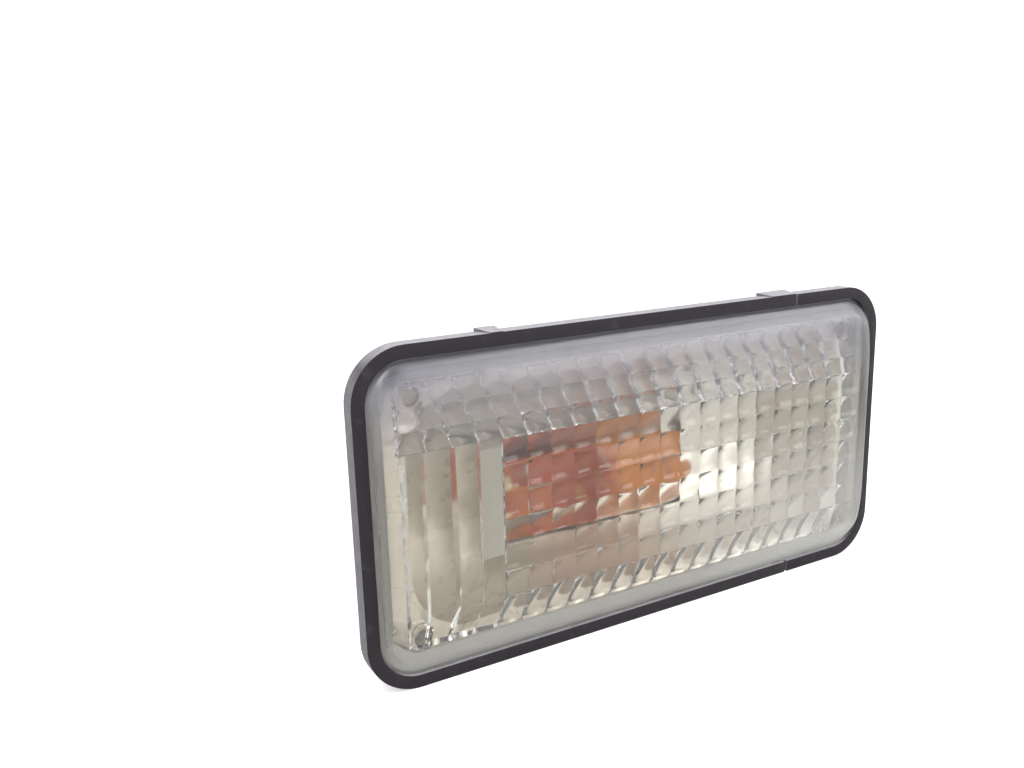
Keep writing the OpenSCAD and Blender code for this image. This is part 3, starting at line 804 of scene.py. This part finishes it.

# %% [markdown]
# ## Amber lacquer
# The amber comes from a lacquer on clear glass. It lets some light through and scatters the rest,
# so transmission is set low, and the colour shows even where nothing bright lies behind. The base
# side is painted a deeper, darker amber than the tip: painted shade, where the holder and the tray
# shade it. Random blotches of lighter and darker lacquer lie over both.

# %% Amber glass
amber, shader = new_finish("amber_glass", IOR=1.5, Transmission_Weight=0.35, Roughness=0.14)
m = amber
shaded_amber, light_amber = (0.74, 0.10, 0.003), (1.0, 0.32, 0.002)
bright_blotch, dark_blotch = (1.0, 0.40, 0.01), (0.42, 0.10, 0.008)
# painted shade: the base side gets the darker amber, the tip the lighter one
towards_tip = remap(m, split_axes(m, place(m))["X"], -6.5 * MM, -3.5 * MM, 0.0, 1.0)
lacquer = blend_colours(m, towards_tip, shaded_amber, light_amber)
bright = remap(m, noise(m, 1.6, 2.0), 0.5, 0.68, 0, 0.6)
dark = remap(m, noise(m, 2.3, 2.0), 0.52, 0.66, 0, 0.6)
lacquer = blend_colours(m, bright, lacquer, bright_blotch)
join(m, blend_colours(m, dark, lacquer, dark_blotch), shader.inputs["Base Color"])
join(m, remap(m, noise(m, 0.7, 3.0), 0.3, 0.7, 0.08, 0.2), shader.inputs["Roughness"])
make_piece("bulb_envelope", bulb_points, bulb_faces, amber, "amber_glass", "bulb_glass",
           sharp_deg=50)

# %% [markdown]
# ## Moulded plastics
# Tray, holder and seal sit behind the lens. A flat colour would look like paint. Moulded plastic
# has a faint cloudiness, a few millimetres across, and a very fine grain, so both are added.

# %% Tray and seal
def moulded(name, colour, second, rough):
    material, shader = new_finish(name, Roughness=rough)
    shade = remap(material, noise(material, 5.0, 5.0), 0.35, 0.7, 0.0, 1.0)
    join(material, blend_colours(material, shade, colour, second), shader.inputs["Base Color"])
    fine = noise(material, 0.25, 2.0)
    join(material, remap(material, fine, 0.3, 0.7, rough - 0.06, rough + 0.08),
         shader.inputs["Roughness"])
    roughen(material, shader, fine, 0.15, 0.02)
    return material


tray_grey = moulded("tray_grey", (0.55, 0.54, 0.51), (0.51, 0.50, 0.47), 0.45)
holder_cream = moulded("holder_cream", (0.64, 0.61, 0.53), (0.60, 0.57, 0.49), 0.4)
seal_black = moulded("seal_black", (0.03, 0.03, 0.03), (0.06, 0.06, 0.06), 0.6)
softened("housing", "tray", tray_grey, "pale_plastic", 0.25)

# %% [markdown]
# ## Bulb holder with a lead-in
# The holder's slot grips the bulb's flat base. Seen through the strips, a square-cut slot hides
# the top of the base, and a real one widens towards the front so that the bulb finds its way in.
# Moving the slot's four front corners apart is all this needs.

# %% Holder
slot_front, slot_half, slot_draft = 1.35, 5.05, 1.2
near_front, near_half = 0.02, 0.03


def open_slot(verts):
    moved = 0
    for v in verts:
        x, y, z = v.co / MM
        beside = abs(abs(z - bulb_z) - slot_half) < near_half
        if abs(y - slot_front) < near_front and beside:
            v.co.z += math.copysign(slot_draft * MM, z - bulb_z)
            moved += 1
    print("slot corners moved:", moved)


softened("bulb_holder", "holder_body", holder_cream, "cream_plastic", 0.2, reshape=open_slot)
softened("holder_seal", "holder_gasket", seal_black, "black_rubber", 0.2)

# %% [markdown]
# ## Brass, steel and wire
# The contacts are stamped brass, gone brown; the clip is spring steel; the leads are plain wire.
# Stretching one noise twelve times gives the drawn lines of rolled and pulled metal, which a
# round noise can't.

# %% Metals
def bare_metal(name, colour, second, rough):
    material, shader = new_finish(name, Metallic=1.0, Roughness=rough)
    shade = remap(material, noise(material, 2.0, 4.0), 0.35, 0.7, 0.0, 1.0)
    join(material, blend_colours(material, shade, colour, second), shader.inputs["Base Color"])
    lines = noise(material, 0.4, 2.0, stretch=(1, 1, 12))
    join(material, remap(material, lines, 0.3, 0.7, rough - 0.08, rough + 0.1),
         shader.inputs["Roughness"])
    roughen(material, shader, lines, 0.1, 0.01)
    return material


brass = bare_metal("contact_brass", (0.62, 0.50, 0.28), (0.46, 0.35, 0.19), 0.34)
steel = bare_metal("clip_steel", (0.58, 0.58, 0.59), (0.45, 0.45, 0.46), 0.32)
wire = bare_metal("lead_wire", (0.70, 0.70, 0.70), (0.56, 0.55, 0.53), 0.3)
tungsten = bare_metal("filament_wire", (0.36, 0.36, 0.37), (0.28, 0.28, 0.30), 0.4)
softened("contact_feed", "contact_upper", brass, "contact_brass", 0.08, segments=2)
softened("contact_ground", "contact_lower", brass, "contact_brass", 0.08, segments=2)
softened("spring_clip", "clip_strip", steel, "spring_steel", 0.08, segments=2)
for node in ("bulb_lead_feed", "bulb_lead_ground"):
    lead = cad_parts[node]
    lead.data.materials.clear()
    lead.data.materials.append(wire)

# %% [markdown]
# ## Filament
# The CAD node is a smooth arc of the coil's outer size. The real one is a fine wire wound on that
# arc. A screw modifier would give a straight coil, so a curve follows a helix round the arc
# instead, and its bevel makes the wire.

# %% Coil
coil_low, coil_high = node_box("filament")
coil_r, coil_edge, wire_r = 0.22, 0.25, 0.035
coil_turns, turn_steps = 26, 14
half_angle = math.radians(40)
mid_z = (coil_low.z + coil_high.z) / 2
arc_r = ((coil_high.z - coil_low.z) / 2 - coil_edge) / math.sin(half_angle)
axis_x = coil_high.x - coil_edge - arc_r
coil_curve = bpy.data.curves.new("filament_coil", "CURVE")
coil_curve.dimensions = "3D"
coil_curve.bevel_depth = wire_r * MM
coil_curve.bevel_resolution = 2
spline = coil_curve.splines.new("POLY")
spline.points.add(coil_turns * turn_steps)
for i in range(coil_turns * turn_steps + 1):
    a = half_angle * (2 * i / (coil_turns * turn_steps) - 1)
    b = 2 * math.pi * i / turn_steps
    r = arc_r + coil_r * math.cos(b)
    spot = Vector((axis_x + r * math.cos(a), bulb_y + coil_r * math.sin(b),
                   mid_z + r * math.sin(a)))
    spline.points[i].co = (*(spot * MM), 1)
coil = bpy.data.objects.new("filament_coil", coil_curve)
coil_curve.materials.append(tungsten)
bpy.context.scene.collection.objects.link(coil)
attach(coil, "root")
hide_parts("filament")
print("coil of", coil_turns, "turns")

# %% [markdown]
# ## The room
# The lamp stands on a pale table in soft room light from above and in front. A picture of a room
# could light it, but a plain even dome shows the colours as they are. The camera sees the dome as
# pure white. Gloss and clear parts see a white room that is darker behind the camera, so that the
# lens keeps its depth and the black its blackness.

# %% Even dome
dome_light, dark_side, bright_side = 0.82, 0.4, 1.0
world = bpy.data.worlds.new("soft_room")
bpy.context.scene.world = world
world.use_nodes = True
background = world.node_tree.nodes["Background"]
ray = add_node(world, "ShaderNodeLightPath").outputs
way = split_axes(world, add_node(world, "ShaderNodeTexCoord").outputs["Generated"])
room = remap(world, way["Y"], -0.7, 0.3, dark_side, bright_side)
direct = arithmetic(world, "MAXIMUM", ray["Is Glossy Ray"], ray["Is Transmission Ray"])
indirect = arithmetic(world, "SUBTRACT", 1.0, direct)
seen = arithmetic(world, "ADD", arithmetic(world, "MULTIPLY", direct, room),
                  arithmetic(world, "MULTIPLY", indirect, dome_light))
join(world, arithmetic(world, "MAXIMUM", ray["Is Camera Ray"], seen),
     background.inputs["Strength"])
background.inputs["Color"].default_value = (1, 1, 1, 1)
print("dome light", dome_light)

# %% [markdown]
# ## The table
# A plane under the surround's lower edge catches the shadow. Its colour is a middle white, so the
# lamp's own pale parts don't clip. The camera, and clear parts a little, see it lifted towards
# white by an emission that lights nothing, and gloss sees it a little darker, so that its
# reflection doesn't veil the lens.

# %% Floor
floor_z, reach = ring_low.z, 900
corners = ((-reach, -reach), (reach, -reach), (reach, reach), (-reach, reach))
floor_mesh = bpy.data.meshes.new("floor")
floor_mesh.from_pydata([Vector((x, y, floor_z)) * MM for x, y in corners], [], [(0, 1, 2, 3)])
floor = bpy.data.objects.new("floor", floor_mesh)
bpy.context.scene.collection.objects.link(floor)
table_white, shader = new_finish("table_white", Roughness=0.75)
m = table_white
ray = add_node(m, "ShaderNodeLightPath").outputs
table = blend_colours(m, remap(m, noise(m, 30, 4.0), 0.3, 0.7, 0, 1),
                      (0.64, 0.64, 0.65), (0.61, 0.61, 0.62))
join(m, blend_colours(m, ray["Is Glossy Ray"], table, (0.53, 0.53, 0.53)),
     shader.inputs["Base Color"])
camera_lift, clear_lift = 0.55, 0.15
lift = arithmetic(m, "MAXIMUM", arithmetic(m, "MULTIPLY", ray["Is Camera Ray"], camera_lift),
                  arithmetic(m, "MULTIPLY", ray["Is Transmission Ray"], clear_lift))
join(m, lift, shader.inputs["Emission Strength"])
shader.inputs["Emission Color"].default_value = (1, 1, 1, 1)
floor_mesh.materials.append(table_white)

# %% [markdown]
# ## Two soft lamps
# The dome alone would leave the lamp flat. Two large area lamps give it a direction and soft
# shadows: one above on the left, one in front on the right. Small lamps would draw hard, bright
# spots in every cell of the lens.

# %% Soft lamps
def soft_lamp(name, place_mm, size_mm, watts):
    data = bpy.data.lights.new(name, "AREA")
    data.size = size_mm * MM
    data.energy = watts
    lamp = bpy.data.objects.new(name, data)
    bpy.context.scene.collection.objects.link(lamp)
    spot = Vector(place_mm) * MM
    aim = (-spot).to_track_quat("-Z", "Y").to_matrix().to_4x4()
    lamp.matrix_world = Matrix.Translation(spot) @ aim
    print(f"{name}: {watts} W")


soft_lamp("key", (-350, -250, 650), 450, 3.8)
soft_lamp("fill", (450, -450, 400), 500, 3.8)
bpy.context.scene.view_settings.view_transform = "Standard"
